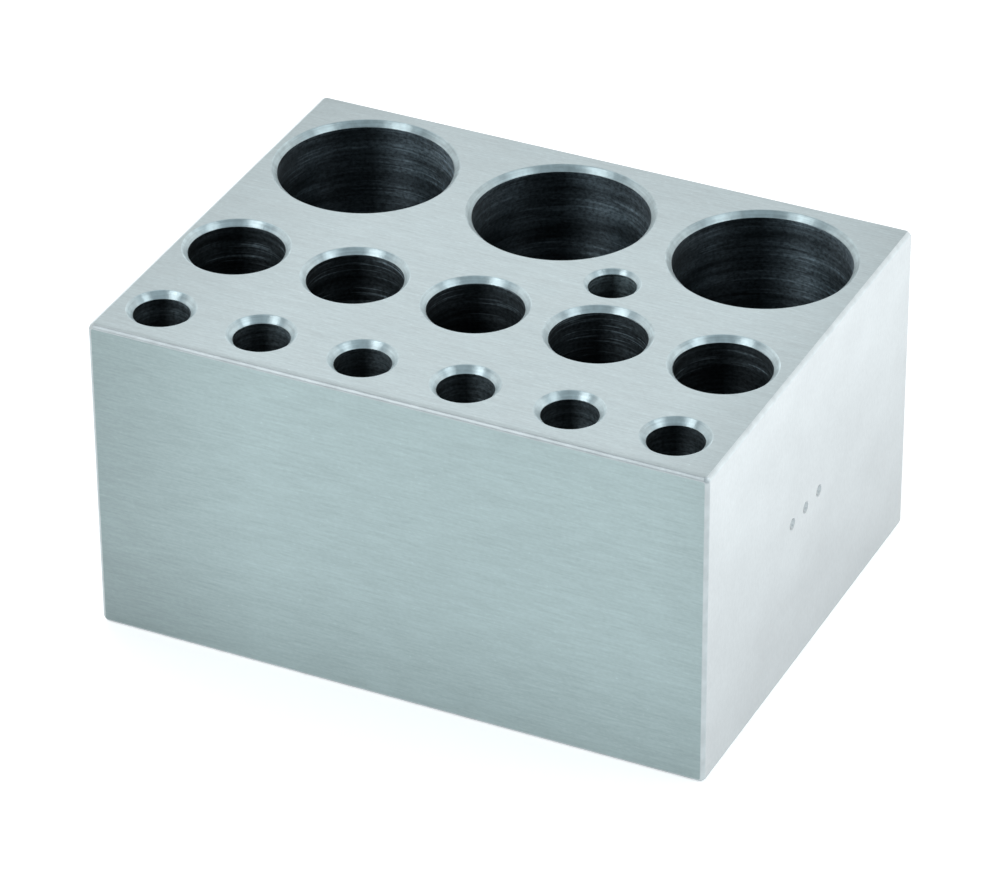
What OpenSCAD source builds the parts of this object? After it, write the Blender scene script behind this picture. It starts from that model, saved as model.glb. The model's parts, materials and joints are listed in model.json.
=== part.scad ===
// Heat block insert for a dry bath: one block of aluminium with three rows of blind tube wells
// and a thermometer well, all drilled from the top face.
// Millimetres, +Z up, origin at the centre of the underside. The rows run along X.

/* [Block] */
// Length of the block, left to right
block_w = 95.25; // [94.75:0.25:120]
// Depth of the block, front to back
block_d = 73.2; // [71.5:0.1:100]
// Height of the block
block_h = 50.3; // [25:0.1:80]
// Leg of the 45 degree break on every outer edge
edge_break = 0.4; // [0.2:0.05:0.8]
// Metal left under the deepest point of every well
floor_t = 3.2; // [1.5:0.1:8]

/* [Hole pattern] */
// How far the pattern's centre line lies from the block's, negative to the left
pattern_shift = -0.55; // [-0.7:0.05:1]
// From the front face to the centres of the front row
front_margin = 8.3; // [7:0.1:10]
// From the front row's centres to the middle row's
middle_row_gap = 19.7; // [16:0.1:21]
// From the middle row's centres to the back row's
back_row_gap = 28.7; // [26:0.1:30]

/* [Large wells] */
// Wells in the back row
large_count = 3; // [1:1:3]
// Bore of a large well
large_bore = 26.1; // [20:0.1:28]
// Spacing of the back row
large_pitch = 31.75; // [29.25:0.25:33]
// Leg of the 45 degree countersink at a large well's mouth
large_mouth = 0.8; // [0.3:0.1:1.2]
// Radius between a large well's wall and its flat floor
large_floor_radius = 1.5; // [0.5:0.1:4]

/* [Medium wells] */
// Wells in the middle row
medium_count = 5; // [1:1:5]
// Bore of a medium well
medium_bore = 14.1; // [10:0.1:14.6]
// Spacing of the middle row
medium_pitch = 19.05; // [16.75:0.05:19.15]
// Leg of the 45 degree countersink at a medium well's mouth
medium_mouth = 0.8; // [0.3:0.1:1.2]

/* [Small wells] */
// Wells in the front row
small_count = 6; // [1:1:6]
// Bore of a small well
small_bore = 8.2; // [5:0.1:10]
// Spacing of the front row
small_pitch = 15.875; // [11:0.025:16.25]
// Leg of the 45 degree countersink at a small well's mouth
small_mouth = 0.9; // [0.3:0.1:1.5]

/* [Thermometer well] */
// Bore of the thermometer well
probe_bore = 7; // [4:0.1:8]
// From the pattern's centre line to the thermometer well, to the right
probe_offset = 15.1; // [12:0.1:18]
// From the middle row's centres to the thermometer well, to the back
probe_gap = 13.4; // [12.5:0.1:14.5]
// Leg of the 45 degree countersink at the thermometer well's mouth
probe_mouth = 0.6; // [0.2:0.1:1]

/* [Drill] */
// Point angle of the drill that leaves the cone at the bottom of every well but the large ones
drill_point = 118; // [90:1:140]

/* [Hidden] */
$fn = 96;
// How far a cutter stands past the face that it cuts
overrun = 1;
front_row_y = -block_d / 2 + front_margin;
middle_row_y = front_row_y + middle_row_gap;
back_row_y = middle_row_y + back_row_gap;
probe_y = middle_row_y + probe_gap;

// A rectangle with every corner broken at 45 degrees
module broken_rectangle(w, h) {
    x = w / 2;
    y = h / 2;
    c = edge_break;
    polygon([
        [-x + c, -y], [x - c, -y], [x, -y + c], [x, y - c],
        [x - c, y], [-x + c, y], [-x, y - c], [-x, -y + c]
    ]);
}

// The squared blank with all twelve edges broken: what three prisms, one along each axis, share
module blank() {
    translate([0, 0, block_h / 2]) intersection() {
        linear_extrude(block_h, center = true) broken_rectangle(block_w, block_d);
        rotate([90, 0, 0]) linear_extrude(block_d, center = true) broken_rectangle(block_w, block_h);
        rotate([90, 0, 90]) linear_extrude(block_w, center = true) broken_rectangle(block_d, block_h);
    }
}

// The countersink and the straight bore, from the height where the full bore starts up through the top
module bore_cutter(bore, mouth, start_z) {
    translate([0, 0, start_z]) cylinder(h = block_h + overrun - start_z, d = bore);
    translate([0, 0, block_h - mouth])
        cylinder(h = mouth + overrun, r1 = bore / 2, r2 = bore / 2 + mouth + overrun);
}

// A drilled well, which ends in the cone of the drill's point
module drilled_well(bore, mouth) {
    cone_h = bore / 2 / tan(drill_point / 2);
    bore_cutter(bore, mouth, floor_t + cone_h);
    translate([0, 0, floor_t]) cylinder(h = cone_h, r1 = 0, r2 = bore / 2);
}

// A bored well, which ends in a flat floor with a radius round it
module flat_well(bore, mouth, floor_radius) {
    bore_cutter(bore, mouth, floor_t + floor_radius);
    translate([0, 0, floor_t]) {
        cylinder(h = floor_radius * 2, d = bore - 2 * floor_radius);
        translate([0, 0, floor_radius])
            rotate_extrude() translate([bore / 2 - floor_radius, 0]) circle(floor_radius);
    }
}

// Copies of one well, evenly spaced along X about the pattern's centre line
module row(count, pitch, y) {
    for (i = [0 : count - 1])
        translate([pattern_shift + (i - (count - 1) / 2) * pitch, y, 0]) children();
}

module block() {
    color([0.77, 0.80, 0.81]) difference() {
        blank();
        row(large_count, large_pitch, back_row_y) flat_well(large_bore, large_mouth, large_floor_radius);
        row(medium_count, medium_pitch, middle_row_y) drilled_well(medium_bore, medium_mouth);
        row(small_count, small_pitch, front_row_y) drilled_well(small_bore, small_mouth);
        translate([pattern_shift + probe_offset, probe_y, 0]) drilled_well(probe_bore, probe_mouth);
    }
}

block();
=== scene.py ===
"""Heat block insert: one machined aluminium block with rows of tube wells, around its CAD solid."""
import json
import math
import random

import bmesh
import bpy
from mathutils import Matrix, Quaternion, Vector


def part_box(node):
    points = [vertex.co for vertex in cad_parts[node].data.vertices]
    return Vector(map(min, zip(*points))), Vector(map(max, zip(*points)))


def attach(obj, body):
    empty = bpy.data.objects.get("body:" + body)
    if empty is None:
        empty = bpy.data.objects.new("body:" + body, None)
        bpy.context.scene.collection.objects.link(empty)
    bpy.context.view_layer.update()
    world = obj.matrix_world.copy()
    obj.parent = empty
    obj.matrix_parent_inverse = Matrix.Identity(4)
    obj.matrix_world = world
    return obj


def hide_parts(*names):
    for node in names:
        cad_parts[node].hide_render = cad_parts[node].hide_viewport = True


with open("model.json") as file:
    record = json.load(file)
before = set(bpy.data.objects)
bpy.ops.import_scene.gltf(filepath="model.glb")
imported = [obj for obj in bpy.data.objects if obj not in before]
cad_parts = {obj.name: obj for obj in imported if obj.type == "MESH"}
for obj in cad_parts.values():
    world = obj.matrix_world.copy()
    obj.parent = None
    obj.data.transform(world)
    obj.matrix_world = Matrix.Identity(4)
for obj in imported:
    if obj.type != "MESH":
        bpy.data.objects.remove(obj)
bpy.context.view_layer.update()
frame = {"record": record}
MM = 0.001

# ---- The milled blank -------------------------------------------------------------------------
# A squared block of aluminium, fly-cut along the top and the long faces, with ends that are finished
# apart and stay matt and pale. Every outer edge is broken with a file at 45 degrees and the corners
# a little further, and the borders of the broken edges are slightly rounded.

block_low, block_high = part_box("block")
edge_break = 0.4 * MM
corner_cut = 1.1 * MM
edge_softness = 0.16 * MM
edge_rounding_steps = 3

top_aluminium = (0.575, 0.66, 0.68)
# The long faces have the top's fly-cut finish in a darker colour: painted shade.
shaded_side_aluminium = (0.375, 0.46, 0.465)
end_aluminium = (0.745, 0.775, 0.785)
edge_aluminium = (0.60, 0.65, 0.665)

# The faces are painted darker towards some of their borders, as shade: towards the ends, the back,
# the front edge of the top and the bottom. A border is an axis, the place where its tone is full, the place
# where that ends, and the tone.
top_painted_shade = [("X", -48 * MM, -26 * MM, 0.86), ("X", 48 * MM, 36 * MM, 0.87),
               ("Y", 37 * MM, 12 * MM, 0.89), ("Y", -36 * MM, -35.2 * MM, 0.84)]
side_painted_shade = [("X", -48 * MM, -22 * MM, 0.76), ("X", 48 * MM, 40 * MM, 0.93),
                ("Z", 0, 18 * MM, 0.85)]
end_painted_shade = [("Z", 0, 50 * MM, 0.77)]
# A broken edge is painted lighter above the ends and along the top, as highlight, and darker between two
# long faces, as shade.
end_edge_painted_highlight, side_edge_painted_shade, top_edge_painted_highlight = 1.1, 0.78, 1.12

# The block's material slots. A well's own faces get theirs behind them.
TOP, SIDE, END, EDGE = range(4)


def new_material(name):
    """A material, its node tree and its shader."""
    material = bpy.data.materials.new(name)
    material.use_nodes = True
    return material, material.node_tree, material.node_tree.nodes["Principled BSDF"]


def feed(tree, node, inputs):
    """Links a node's inputs, by name or number, to another node's output, or sets them to a value."""
    for key, value in inputs.items():
        if isinstance(value, bpy.types.NodeSocket):
            tree.links.new(value, node.inputs[key])
        else:
            node.inputs[key].default_value = value


def add_node(tree, kind, inputs=None, **settings):
    """A node of a tree, with its settings made and its inputs fed."""
    node = tree.nodes.new(kind)
    for name, setting in settings.items():
        setattr(node, name, setting)
    feed(tree, node, inputs or {})
    return node


def maths(tree, operation, first, second):
    return add_node(tree, "ShaderNodeMath", {0: first, 1: second}, operation=operation).outputs["Value"]


def vector_maths(tree, operation, first, second):
    return add_node(tree, "ShaderNodeVectorMath", {0: first, 1: second}, operation=operation)


def product(tree, first, *others):
    for other in others:
        first = maths(tree, "MULTIPLY", first, other)
    return first


def mapped(tree, value, low, high, to_low, to_high):
    """A value in low..high carried over to to_low..to_high."""
    change = add_node(tree, "ShaderNodeMapRange", {"Value": value, "From Min": low, "From Max": high,
                                                   "To Min": to_low, "To Max": to_high})
    return change.outputs["Result"]


def varied(tree, noise, low, high):
    """A noise, which keeps to about 0.3 to 0.7, carried over to low..high."""
    return mapped(tree, noise, 0.3, 0.7, low, high)


def noise_at(tree, place, scale, detail, roughness, shift=(0, 0, 0)):
    """Noise at a place, finer or coarser along each axis: the scale is in cycles per metre."""
    stretch = add_node(tree, "ShaderNodeMapping", {"Vector": place, "Location": shift, "Scale": scale})
    noise = add_node(tree, "ShaderNodeTexNoise", {"Vector": stretch.outputs["Vector"], "Scale": 1.0,
                                                  "Detail": detail, "Roughness": roughness})
    return noise.outputs["Fac"]


def block_pattern(tree, scale, detail, shift=(0, 0, 0)):
    """Noise that runs through the whole block."""
    place = add_node(tree, "ShaderNodeTexCoord").outputs["Object"]
    return noise_at(tree, place, scale, detail, roughness=0.55, shift=shift)


def toned(tree, colour, tone):
    """A colour made lighter or darker by a value near 1."""
    mix = add_node(tree, "ShaderNodeVectorMath", {0: colour, "Scale": tone}, operation="SCALE")
    return mix.outputs["Vector"]


def bumped(tree, height, distance):
    bump = add_node(tree, "ShaderNodeBump", {"Height": height, "Distance": distance, "Strength": 1.0})
    return bump.outputs["Normal"]


def across_the_grain(tree, grain):
    """The tangent for a face cut along grain: light spreads across the cutter's lines."""
    surface = add_node(tree, "ShaderNodeNewGeometry")
    return vector_maths(tree, "CROSS_PRODUCT", surface.outputs["Normal"], grain).outputs["Vector"]


def with_painted_borders(tree, tone, borders):
    """A tone multiplied towards each border by the border's own painted tone: shade below 1, highlight
    above.
    """
    place = add_node(tree, "ShaderNodeTexCoord").outputs["Object"]
    split = add_node(tree, "ShaderNodeSeparateXYZ", {"Vector": place})
    fades = [mapped(tree, split.outputs[axis], full, ended, painted_tone, 1)
             for axis, full, ended, painted_tone in borders]
    return product(tree, tone, *fades)


def milled_finish(name, colour, roughness, borders):
    """Fly-cut aluminium: fine straight lines along the block, faint clouds, a few specks painted bright as
    glints, and painted shade towards the borders.
    """
    material, tree, shader = new_material(name)
    roughness_change = 0.03
    fine = block_pattern(tree, (260, 4200, 4200), detail=4)
    broad = block_pattern(tree, (140, 1500, 1500), detail=3, shift=(3, 1, 7))
    cloud = block_pattern(tree, (150, 420, 420), detail=5, shift=(9, 4, 2))
    specks = block_pattern(tree, (1500, 2600, 2600), detail=2, shift=(5, 6, 1))
    lines = maths(tree, "ADD", fine, product(tree, broad, 0.5))
    tone = product(tree, mapped(tree, lines, 0.45, 1.05, 0.91, 1.09), varied(tree, cloud, 0.965, 1.035),
                   varied(tree, specks, 0.96, 1.04))
    # The rarest specks are painted brighter: painted glints.
    tone = maths(tree, "ADD", tone, mapped(tree, specks, 0.71, 0.79, 0, 0.2))
    feed(tree, shader, {"Base Color": toned(tree, colour, with_painted_borders(tree, tone, borders)),
                        "Metallic": 1.0,
                        "Roughness": varied(tree, cloud, roughness - roughness_change,
                                            roughness + roughness_change),
                        "Anisotropic": 0.5,
                        "Tangent": across_the_grain(tree, (1, 0, 0)),
                        "Normal": bumped(tree, lines, 0.004 * MM)})
    return material


def end_finish():
    """The two ends: matt and paler, with a fine even grain and faint clouds, and painted shade towards the
    bottom.
    """
    material, tree, shader = new_material("pale_end")
    grain = block_pattern(tree, (2200, 2200, 1300), detail=4, shift=(2, 8, 5))
    cloud = block_pattern(tree, (90, 90, 110), detail=4, shift=(1, 5, 3))
    tone = product(tree, varied(tree, grain, 0.97, 1.03), varied(tree, cloud, 0.965, 1.035))
    feed(tree, shader, {"Base Color": toned(tree, end_aluminium, with_painted_borders(tree, tone, end_painted_shade)),
                        "Metallic": 1.0,
                        "Roughness": 0.5,
                        "Normal": bumped(tree, grain, 0.004 * MM)})
    return material


def filed_edge_finish():
    """The broken edges: bare metal with the fine waviness of a hand file, painted lighter as highlight or
    darker as shade by the face each edge meets.
    """
    material, tree, shader = new_material("filed_edge")
    wave = block_pattern(tree, (420, 420, 420), detail=3)
    borders = [(axis, face + inward * edge_break, face + inward * 2 * edge_break, tone)
               for axis, face, inward, tone in (("X", block_high.x, -1, end_edge_painted_highlight),
                                                ("X", block_low.x, 1, end_edge_painted_highlight),
                                                ("Y", block_high.y, -1, side_edge_painted_shade),
                                                ("Y", block_low.y, 1, side_edge_painted_shade),
                                                ("Z", block_high.z, -1, top_edge_painted_highlight))]
    tone = with_painted_borders(tree, mapped(tree, wave, 0.35, 0.65, 0.92, 1.05), borders)
    feed(tree, shader, {"Base Color": toned(tree, edge_aluminium, tone),
                        "Metallic": 1.0,
                        "Roughness": 0.45,
                        "Normal": bumped(tree, wave, 0.06 * MM)})
    return material


def blank_shell():
    """The blank with broken edges, open on top and at the right end, where the hollows will be."""
    bm = bmesh.new()
    size = block_high - block_low
    centre = (block_high + block_low) / 2
    bmesh.ops.create_cube(bm, size=1.0, matrix=Matrix.Translation(centre) @ Matrix.Diagonal((*size, 1)))
    bmesh.ops.bevel(bm, geom=bm.verts[:], offset=corner_cut, segments=1, affect="VERTICES")
    long_edges = [e for e in bm.edges if e.calc_length() > 2 * corner_cut]
    bmesh.ops.bevel(bm, geom=long_edges, offset=edge_break, segments=1, affect="EDGES")
    bmesh.ops.bevel(bm, geom=bm.edges[:], offset=edge_softness, segments=edge_rounding_steps, profile=0.5,
                    affect="EDGES")
    broad_face = 0.5 * min(size) ** 2
    opened = []
    for face in bm.faces:
        face.smooth = face.calc_area() <= broad_face
        if face.smooth:
            face.material_index = EDGE
            continue
        across = max(range(3), key=lambda axis: abs(face.normal[axis]))
        face.material_index = (END, SIDE, TOP)[across]
        if across != 1 and face.normal[across] > 0:
            opened.append(face)
    bmesh.ops.delete(bm, geom=opened, context="FACES_ONLY")
    mesh = bpy.data.meshes.new("heat_block")
    bm.to_mesh(mesh)
    bm.free()
    for finish in (milled_finish("milled_top", top_aluminium, 0.38, top_painted_shade),
                   milled_finish("milled_side", shaded_side_aluminium, 0.34, side_painted_shade),
                   end_finish(), filed_edge_finish()):
        mesh.materials.append(finish)
    return mesh


block = bpy.data.objects.new("heat_block", blank_shell())
bpy.context.scene.collection.objects.link(block)

# ---- The wells --------------------------------------------------------------------------------
# Blind holes made from the top: three rows of tube wells and a thermometer well. The walls keep
# the rings of the drill or boring bar and are painted dark as shade, lighter on one side as painted light,
# and each mouth has a bright turned countersink.

well_segments = {"large": 128, "medium": 96, "small": 64, "thermometer": 56}
drill_point = math.radians(118)
large_floor_radius = 1.5 * MM
mouth_softness = 0.3 * MM
bore_softness = 0.06 * MM
ring_spacing = 0.55 * MM
ring_depth = 0.03 * MM
ringed_depth = 18 * MM
ring_unevenness = 0.4
plain_step = 3 * MM
floor_rings = (0.75, 0.5, 0.25, 0.08)
mouth_steps, bore_steps, floor_steps = 4, 2, 6
weld_distance = 1e-7
pattern_spread = 50.0

# The walls' colours are painted dark: painted shade deep in the wells.
bored_wall_painted_shade = (0.10, 0.128, 0.146)
drilled_wall_painted_shade = (0.072, 0.089, 0.099)
reamed_wall_painted_shade = (0.11, 0.136, 0.15)
probe_wall_painted_shade = (0.21, 0.265, 0.285)
mouth_aluminium = (0.58, 0.69, 0.72)
large_mouth_aluminium = (0.50, 0.60, 0.625)
# Painted light and shade on a wall: lighter at one azimuth round its axis, in its upper part.
lit_side = math.radians(30)
side_light_ends_below, side_light_full_above = 14 * MM, 30 * MM

# The finish numbers along a hollow's profile.
MOUTH, WALL = range(2)


def along_the_axis(tree):
    """The tangent for turned work on an upright axis: light spreads along the axis, across the rings."""
    normal = add_node(tree, "ShaderNodeNewGeometry").outputs["Normal"]
    around = vector_maths(tree, "CROSS_PRODUCT", (0, 0, 1), normal)
    return vector_maths(tree, "CROSS_PRODUCT", normal, around.outputs["Vector"]).outputs["Vector"]


def attribute(tree, name, output):
    return add_node(tree, "ShaderNodeAttribute", attribute_name=name).outputs[output]


def well_pattern(tree, scale, detail):
    """Noise in a well's own place, other in each well: rings, where it is stretched round the axis."""
    own = vector_maths(tree, "ADD", attribute(tree, "well_place", "Vector"),
                       attribute(tree, "well_shift", "Fac"))
    return noise_at(tree, own.outputs["Vector"], scale, detail, roughness=0.6)


def painted_side_light(tree, azimuth):
    """Painted light and shade round a wall's axis: lightest near that azimuth, darker elsewhere, and the
    same all round deep down.
    """
    place = attribute(tree, "well_place", "Vector")
    level = vector_maths(tree, "MULTIPLY", place, (1, 1, 0))
    outward = add_node(tree, "ShaderNodeVectorMath", {0: level.outputs["Vector"]}, operation="NORMALIZE")
    lit_way = (math.cos(azimuth), math.sin(azimuth), 0)
    side = vector_maths(tree, "DOT_PRODUCT", outward.outputs["Vector"], lit_way).outputs["Value"]
    tone = maths(tree, "ADD", mapped(tree, side, 0.1, 0.9, 0.28, 2.0),
                 mapped(tree, side, -0.3, -0.8, 0, 0.25))
    height = add_node(tree, "ShaderNodeSeparateXYZ", {"Vector": place}).outputs["Z"]
    share = mapped(tree, height, side_light_ends_below, side_light_full_above, 0, 1)
    return maths(tree, "ADD", product(tree, maths(tree, "SUBTRACT", tone, 1), share), 1)


def wall_finish(name, colour, anisotropy, ring_height, arc_tone):
    """A cut wall: painted dark as shade, torn into fine specks, with rings of uneven tone and partial arcs
    painted brighter as glints.

    ring_height is the usual height of a ring, arc_tone how much brighter an arc is painted than the wall,
    as a glint."""
    material, tree, shader = new_material(name)
    rings = well_pattern(tree, (70, 70, 1 / ring_height), detail=4)
    bands = well_pattern(tree, (45, 45, 0.2 / ring_height), detail=2)
    arcs = well_pattern(tree, (110, 110, 1.5 / ring_height), detail=1)
    specks = well_pattern(tree, (1700, 1700, 2400), detail=2)
    tone = product(tree, varied(tree, rings, 0.55, 1.45), mapped(tree, bands, 0.35, 0.65, 0.6, 1.4))
    # Partial arcs painted brighter than the wall: painted glints.
    glint = product(tree, mapped(tree, arcs, 0.56, 0.66, 0, arc_tone),
                    mapped(tree, bands, 0.42, 0.56, 0, 1))
    tone = product(tree, maths(tree, "ADD", tone, glint), varied(tree, specks, 0.55, 1.45),
                   painted_side_light(tree, lit_side))
    feed(tree, shader, {"Base Color": toned(tree, colour, tone),
                        "Metallic": 1.0,
                        "Roughness": 0.5,
                        "Anisotropic": anisotropy,
                        "Tangent": along_the_axis(tree),
                        "Normal": bumped(tree, rings, 0.02 * MM)})
    return material


def mouth_finish(name, colour):
    """A countersink: clean bright cuts that run round the mouth, with faint chatter across them."""
    material, tree, shader = new_material(name)
    rings = well_pattern(tree, (160, 160, 4000), detail=3)
    chatter = well_pattern(tree, (750, 750, 120), detail=2)
    tone = product(tree, varied(tree, rings, 0.84, 1.12), varied(tree, chatter, 0.88, 1.12))
    feed(tree, shader, {"Base Color": toned(tree, colour, tone),
                        "Metallic": 1.0,
                        "Roughness": 0.37,
                        "Anisotropic": 0.93,
                        "Tangent": along_the_axis(tree),
                        "Normal": bumped(tree, chatter, 0.03 * MM)})
    return material


WALLS = {"large": wall_finish("bored_wall", bored_wall_painted_shade, 0.9, 0.62 * MM, 1.0),
         "medium": wall_finish("drilled_wall", drilled_wall_painted_shade, 0.7, 0.53 * MM, 3.4),
         "small": wall_finish("reamed_wall", reamed_wall_painted_shade, 0.7, 0.5 * MM, 0.7),
         "thermometer": wall_finish("thermometer_wall", probe_wall_painted_shade, 0.7, 0.5 * MM, 0.5)}
MOUTHS = dict.fromkeys(WALLS, mouth_finish("countersink", mouth_aluminium))
MOUTHS["large"] = mouth_finish("wide_countersink", large_mouth_aluminium)


def arc(start, turn_from, turn_to, radius, steps):
    """Points of an arc that leaves start heading turn_from and ends heading turn_to, start left out.

    Headings are angles in the (radius, height) plane of a profile."""
    sign = 1 if turn_to > turn_from else -1
    centre = (start[0] - sign * radius * math.sin(turn_from),
              start[1] + sign * radius * math.cos(turn_from))
    points = []
    for i in range(1, steps + 1):
        heading = turn_from + (turn_to - turn_from) * i / steps
        points.append((centre[0] + sign * radius * math.sin(heading),
                       centre[1] - sign * radius * math.cos(heading)))
    return points


def well_profile(radius, wall_top, wall_bottom, top, flat_floor, chance):
    """The half section of a well from the top face down to its axis, as (radius, height, finish)."""
    inward, slope, down = math.radians(180), math.radians(225), math.radians(270)
    # How far before a sharp 45 degree corner its rounding starts, in radii of the rounding.
    reach = math.tan(math.radians(22.5))
    leg = top - wall_top
    points = [(radius + leg + mouth_softness * reach, top)]
    points += arc(points[-1], inward, slope, mouth_softness, mouth_steps)
    back = bore_softness * reach * math.sqrt(0.5)
    points.append((radius + back, wall_top + back))
    points += arc(points[-1], slope, down, bore_softness, bore_steps)
    profile = [(r, z, MOUTH) for r, z in points]
    ring_z = points[-1][1] - ring_spacing
    while ring_z > wall_bottom + plain_step:
        ringed = top - ring_z < ringed_depth
        cut = chance.uniform(0, ring_depth) if ringed else 0
        profile.append((radius + cut, ring_z, WALL))
        uneven = chance.uniform(1 - ring_unevenness, 1 + ring_unevenness) if ringed else 0
        ring_z -= ring_spacing * uneven if ringed else plain_step
    profile.append((radius, wall_bottom, WALL))
    if flat_floor:
        rounding = arc((radius, wall_bottom), down, inward, large_floor_radius, floor_steps)
        profile += [(r, z, WALL) for r, z in rounding]
    last_radius, last_height, _ = profile[-1]
    point_depth = 0 if flat_floor else last_radius / math.tan(drill_point / 2)
    for share in floor_rings:
        profile.append((last_radius * share, last_height - point_depth * (1 - share), WALL))
    profile.append((0, last_height - point_depth, WALL))
    return profile


def lathed_row_tree():
    """Geometry Nodes: spins a profile about Z and repeats it along X.

    The input mesh is the profile, a line of points at (radius, 0, height) with a finish number."""
    tree = bpy.data.node_groups.new("lathed_row", "GeometryNodeTree")
    for name, kind in (("Geometry", "Geometry"), ("Segments", "Int"), ("Copies", "Int"),
                       ("Pitch", "Float"), ("First place", "Vector"), ("Mouth finish", "Material"),
                       ("Wall finish", "Material"), ("Seed", "Int")):
        tree.interface.new_socket(name, in_out="INPUT", socket_type="NodeSocket" + kind)
    tree.interface.new_socket("Geometry", in_out="OUTPUT", socket_type="NodeSocketGeometry")
    given = add_node(tree, "NodeGroupInput").outputs
    result = add_node(tree, "NodeGroupOutput")

    # A grid whose columns are copies of the profile, one for each step round the axis.
    profile = given["Geometry"]
    length = add_node(tree, "GeometryNodeAttributeDomainSize", {"Geometry": profile}).outputs["Point Count"]
    columns = maths(tree, "ADD", given["Segments"], 1)
    grid = add_node(tree, "GeometryNodeMeshGrid", {"Vertices X": columns, "Vertices Y": length})
    index = add_node(tree, "GeometryNodeInputIndex").outputs["Index"]
    row = maths(tree, "MODULO", index, length)
    column = add_node(tree, "FunctionNodeIntegerMath", {0: index, 1: length}, operation="DIVIDE_FLOOR")
    share = maths(tree, "DIVIDE", column.outputs[0], given["Segments"])
    angle = product(tree, share, 2 * math.pi)

    def sampled(value, data_type):
        """What the profile has at the point that a point of the grid stands for."""
        inputs = {"Geometry": profile, "Value": value, "Index": row}
        return add_node(tree, "GeometryNodeSampleIndex", inputs, data_type=data_type,
                        domain="POINT").outputs[0]

    def stored(geometry, name, value, data_type, domain="POINT"):
        inputs = {"Geometry": geometry, "Name": name, "Value": value}
        return add_node(tree, "GeometryNodeStoreNamedAttribute", inputs, data_type=data_type,
                        domain=domain).outputs[0]

    def named(name, data_type):
        return add_node(tree, "GeometryNodeInputNamedAttribute", {"Name": name},
                        data_type=data_type).outputs[0]

    # The grid is spun into one hollow, which remembers each point's finish and its own place in it.
    place = add_node(tree, "GeometryNodeInputPosition").outputs[0]
    turned = add_node(tree, "ShaderNodeVectorRotate",
                      {"Vector": sampled(place, "FLOAT_VECTOR"), "Angle": angle}, rotation_type="Z_AXIS")
    spun = add_node(tree, "GeometryNodeSetPosition",
                    {"Geometry": grid.outputs["Mesh"], "Position": turned.outputs[0]})
    hollow = stored(spun.outputs[0], "finish", sampled(named("finish", "INT"), "INT"), "INT")
    hollow = stored(hollow, "well_place", place, "FLOAT_VECTOR")
    welded = add_node(tree, "GeometryNodeMergeByDistance", {"Geometry": hollow, "Distance": weld_distance})

    # The hollow is repeated, with a number for each copy, by which its pattern differs.
    step = add_node(tree, "ShaderNodeCombineXYZ", {"X": given["Pitch"]})
    line = add_node(tree, "GeometryNodeMeshLine",
                    {"Count": given["Copies"], "Start Location": given["First place"],
                     "Offset": step.outputs[0]}, mode="OFFSET")
    copies = add_node(tree, "GeometryNodeInstanceOnPoints",
                      {"Points": line.outputs[0], "Instance": welded.outputs[0]})
    shift = add_node(tree, "FunctionNodeRandomValue",
                     {2: 0.0, 3: pattern_spread, "ID": index, "Seed": given["Seed"]}, data_type="FLOAT")
    marked = stored(copies.outputs[0], "well_shift", shift.outputs[1], "FLOAT", "INSTANCE")
    real = add_node(tree, "GeometryNodeRealizeInstances", {"Geometry": marked})
    smooth = add_node(tree, "GeometryNodeSetShadeSmooth", {"Geometry": real.outputs[0]})

    # A face that has any point of the wall is the wall's.
    any_wall = MOUTH + 0.01
    on_the_wall = add_node(tree, "FunctionNodeCompare", {0: named("finish", "FLOAT"), 1: any_wall},
                           data_type="FLOAT", operation="GREATER_THAN")
    mouths = add_node(tree, "GeometryNodeSetMaterial",
                      {"Geometry": smooth.outputs[0], "Material": given["Mouth finish"]})
    walls = add_node(tree, "GeometryNodeSetMaterial",
                     {"Geometry": mouths.outputs[0], "Selection": on_the_wall.outputs[0],
                      "Material": given["Wall finish"]})
    feed(tree, result, {0: walls.outputs[0]})
    return tree


LATHED_ROW = lathed_row_tree()


def lathed_row(name, profile, inputs):
    """A row of equal turned hollows: a profile of (radius, height, finish), spun and repeated.

    inputs are the tree's sizes and finishes by name, set on the modifier through their identifiers."""
    line = bpy.data.meshes.new(name)
    edges = [(i, i + 1) for i in range(len(profile) - 1)]
    line.from_pydata([(radius, 0, height) for radius, height, _ in profile], edges, [])
    finishes = line.attributes.new("finish", "INT", "POINT")
    finishes.data.foreach_set("value", [finish for _, _, finish in profile])
    row = bpy.data.objects.new(name, line)
    bpy.context.scene.collection.objects.link(row)
    modifier = row.modifiers.new("lathed_row", "NODES")
    modifier.node_group = LATHED_ROW
    for item in LATHED_ROW.interface.items_tree:
        if item.in_out == "INPUT" and item.name in inputs:
            modifier[item.identifier] = inputs[item.name]
    bpy.context.view_layer.update()
    made = bpy.data.meshes.new_from_object(row.evaluated_get(bpy.context.evaluated_depsgraph_get()))
    row.modifiers.remove(modifier)
    row.data = made
    return row


def row_of_wells(kind, mounts, seed):
    """One row of equal wells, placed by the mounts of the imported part."""
    mounts = sorted(mounts, key=lambda mount: mount["pos_m"][0])
    first, last = Vector(mounts[0]["pos_m"]), Vector(mounts[-1]["pos_m"])
    radius = mounts[0]["dims"]["r_mm"] * MM
    half = mounts[0]["dims"]["length_mm"] * MM / 2
    profile = well_profile(radius, first.z + half, first.z - half, block_high.z, kind == "large",
                           random.Random(seed))
    return lathed_row(kind + "_wells", profile, {
        "Segments": well_segments[kind], "Copies": len(mounts), "Seed": seed,
        "Pitch": (last.x - first.x) / max(len(mounts) - 1, 1), "First place": (first.x, first.y, 0.0),
        "Mouth finish": MOUTHS[kind], "Wall finish": WALLS[kind]})


bores = [mount for mount in frame["record"]["mounts"] if mount["kind"] == "bore"]
wells = [row_of_wells(kind, [bore for bore in bores if bore["name"].startswith(kind)], seed)
         for seed, kind in enumerate(well_segments, start=1)]

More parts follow.
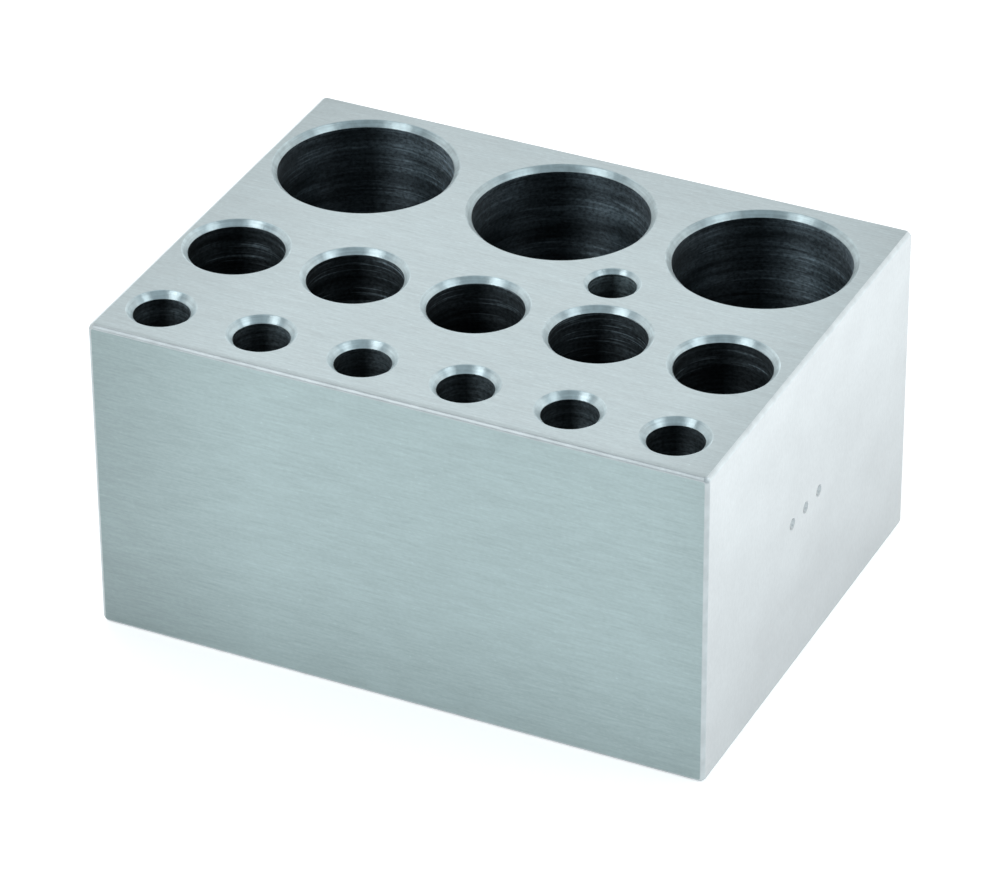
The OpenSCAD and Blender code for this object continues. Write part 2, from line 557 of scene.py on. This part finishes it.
# ---- The punch marks --------------------------------------------------------------------------
# Three plain dots in a row on the right end, struck with a centre punch: the cone of its point with
# a slightly rounded border. They are shallow and have no meaning of their own.

mark_count = 3
mark_pitch = 4.8 * MM
mark_first_y, mark_z = -6.4 * MM, 25.2 * MM
mark_radius, mark_depth = 0.95 * MM, 0.8 * MM
mark_section = ((1, 0), (0.92, 0.04), (0.8, 0.16), (0.12, 0.94), (0, 1))
mark_segments = 24
mark_seed = 5
struck_aluminium = (0.42, 0.46, 0.475)
# The lathe's axis goes to X, its row to Y and its front to Z.
lathe_to_end = Matrix(((0, 0, 1, 0), (1, 0, 0, 0), (0, 1, 0, 0), (0, 0, 0, 1)))


def struck_finish():
    """The inside of a dot: metal pressed smooth by the punch, in a darker plain colour."""
    material, tree, shader = new_material("struck")
    feed(tree, shader, {"Base Color": (*struck_aluminium, 1), "Metallic": 1.0, "Roughness": 0.25})
    return material


def punch_marks():
    """The row of dots, lathed about Z along X and then turned to lie in the right end face."""
    profile = [(mark_radius * across, block_high.x - mark_depth * down, MOUTH)
               for across, down in mark_section]
    struck = struck_finish()
    marks = lathed_row("punch_marks", profile, {
        "Segments": mark_segments, "Copies": mark_count, "Pitch": mark_pitch, "Seed": mark_seed,
        "First place": (mark_first_y, mark_z, 0.0), "Mouth finish": struck, "Wall finish": struck})
    marks.data.transform(lathe_to_end)
    return marks


# ---- The finished block -----------------------------------------------------------------------
# The wells and the marks are hollows in the one piece of metal, so they are joined to the blank and
# the top and the right end are closed round them.

rim_tolerance = 1e-6


def sink(block, hollows):
    """Joins the hollows to the blank and closes the top and the right end between outline and mouths."""
    with bpy.context.temp_override(active_object=block, selected_editable_objects=[block, *hollows],
                                   selected_objects=[block, *hollows], object=block):
        bpy.ops.object.join()
    bm = bmesh.new()
    bm.from_mesh(block.data)
    bmesh.ops.remove_doubles(bm, verts=bm.verts, dist=weld_distance)
    for axis, finish in ((2, TOP), (0, END)):
        level = block_high[axis] - rim_tolerance
        rim = [e for e in bm.edges if e.is_boundary and all(v.co[axis] > level for v in e.verts)]
        made = bmesh.ops.triangle_fill(bm, edges=rim, use_beauty=True, use_dissolve=False,
                                       normal=Vector((axis == 0, 0, axis == 2)))
        for item in made["geom"]:
            if isinstance(item, bmesh.types.BMFace):
                item.material_index = finish
                item.smooth = False
    bmesh.ops.recalc_face_normals(bm, faces=bm.faces)
    bm.to_mesh(block.data)
    bm.free()


sink(block, [*wells, punch_marks()])
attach(block, "root")
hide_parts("block")

# ---- Table, lamps and camera ------------------------------------------------------------------
# A plain pale table in a pale room that is dimmer and cooler high in front, with a white card on the
# right, a backdrop, and two soft boxes, high on the right and on the front left. The camera stands in
# front on the right and looks down on the block.

table_size = 6.0
table_white = (0.93, 0.93, 0.93)
table_glow = 0.45

# Soft boxes: azimuth from +X and elevation in degrees, width, height and radiance.
soft_boxes = {"right_softbox": (-2, 46, 0.26, 0.40, 1.5), "left_softbox": (-122, 50, 0.28, 0.34, 2.6)}
soft_box_distance = 0.7

# Parts of the room: azimuth and elevation, the cosines of the angles from there at which the light
# starts to change and has changed, and how bright it is then, with 1 for the rest of the room.
overhead = (-64, 59, 0.30, 0.56, 0.52)
overhead_tint = (0.86, 0.98, 1.04)
card = (8, 10, 0.72, 0.92, 1.35)
backdrop = (116, 35, 0.55, 0.95, 1.06)

aim = Vector((-0.44, -1.18, 23.77)) * MM
camera_azimuth, camera_elevation, camera_roll = (math.radians(a) for a in (25.689, 32.461, -0.381))
camera_distance = 809.7 * MM
camera_lens = 201.49
camera_sensor = 36.0
camera_reach = 20.0


def table_finish():
    """Matt white, with a glow of its own that only the camera and reflections see."""
    material, tree, shader = new_material("table")
    path = add_node(tree, "ShaderNodeLightPath")
    seen = maths(tree, "MAXIMUM", path.outputs["Is Camera Ray"], path.outputs["Is Glossy Ray"])
    seen = maths(tree, "MAXIMUM", seen, path.outputs["Is Transmission Ray"])
    feed(tree, shader, {"Base Color": (*table_white, 1),
                        "Roughness": 0.9,
                        "Specular IOR Level": 0.0,
                        "Emission Color": (1, 1, 1, 1),
                        "Emission Strength": product(tree, seen, table_glow)})
    return material


def heading(azimuth, elevation):
    """The direction at an azimuth from +X and an elevation, both in degrees."""
    a, e = math.radians(azimuth), math.radians(elevation)
    return Vector((math.cos(a) * math.cos(e), math.sin(a) * math.cos(e), math.sin(e)))


def room_part(tree, azimuth, elevation, start, full, level):
    """A value that is 1 in most of the room and goes to level round the direction given."""
    direction = add_node(tree, "ShaderNodeTexCoord").outputs["Generated"]
    nearness = vector_maths(tree, "DOT_PRODUCT", direction, heading(azimuth, elevation))
    return mapped(tree, nearness.outputs["Value"], start, full, 1, level)


def room_light():
    """The room's light, the product of its parts."""
    world = bpy.data.worlds.new("room")
    world.use_nodes = True
    tree = world.node_tree
    level = product(tree, room_part(tree, *overhead), room_part(tree, *card), room_part(tree, *backdrop))
    tints = {channel: room_part(tree, *overhead[:4], tint) for channel, tint in zip("XYZ", overhead_tint)}
    tint = add_node(tree, "ShaderNodeCombineXYZ", tints)
    feed(tree, tree.nodes["Background"], {"Strength": level, "Color": tint.outputs["Vector"]})
    return world


half = table_size / 2
table = bpy.data.objects.new("table", bpy.data.meshes.new("table"))
table.data.from_pydata([(-half, -half, 0), (half, -half, 0), (half, half, 0), (-half, half, 0)], [],
                       [(0, 1, 2, 3)])
table.data.materials.append(table_finish())
bpy.context.scene.collection.objects.link(table)

for name, (azimuth, elevation, width, height, radiance) in soft_boxes.items():
    lamp = bpy.data.lights.new(name, "AREA")
    lamp.shape = "RECTANGLE"
    lamp.size = width
    lamp.size_y = height
    lamp.energy = radiance * math.pi * width * height
    holder = bpy.data.objects.new(name, lamp)
    towards = heading(azimuth, elevation)
    holder.location = aim + towards * soft_box_distance
    holder.rotation_mode = "QUATERNION"
    holder.rotation_quaternion = (-towards).to_track_quat("-Z", "Y")
    bpy.context.scene.collection.objects.link(holder)

scene = bpy.context.scene
scene.world = room_light()
scene.view_settings.view_transform = "Standard"
camera = bpy.data.objects.new("camera", bpy.data.cameras.new("camera"))
forward = Vector((-math.sin(camera_azimuth) * math.cos(camera_elevation),
                  math.cos(camera_azimuth) * math.cos(camera_elevation), -math.sin(camera_elevation)))
camera.location = aim - forward * camera_distance
camera.rotation_mode = "QUATERNION"
camera.rotation_quaternion = forward.to_track_quat("-Z", "Y") @ Quaternion((0, 0, 1), camera_roll)
camera.data.lens = camera_lens
camera.data.sensor_width = camera_sensor
camera.data.clip_end = camera_reach
scene.collection.objects.link(camera)
scene.camera = camera
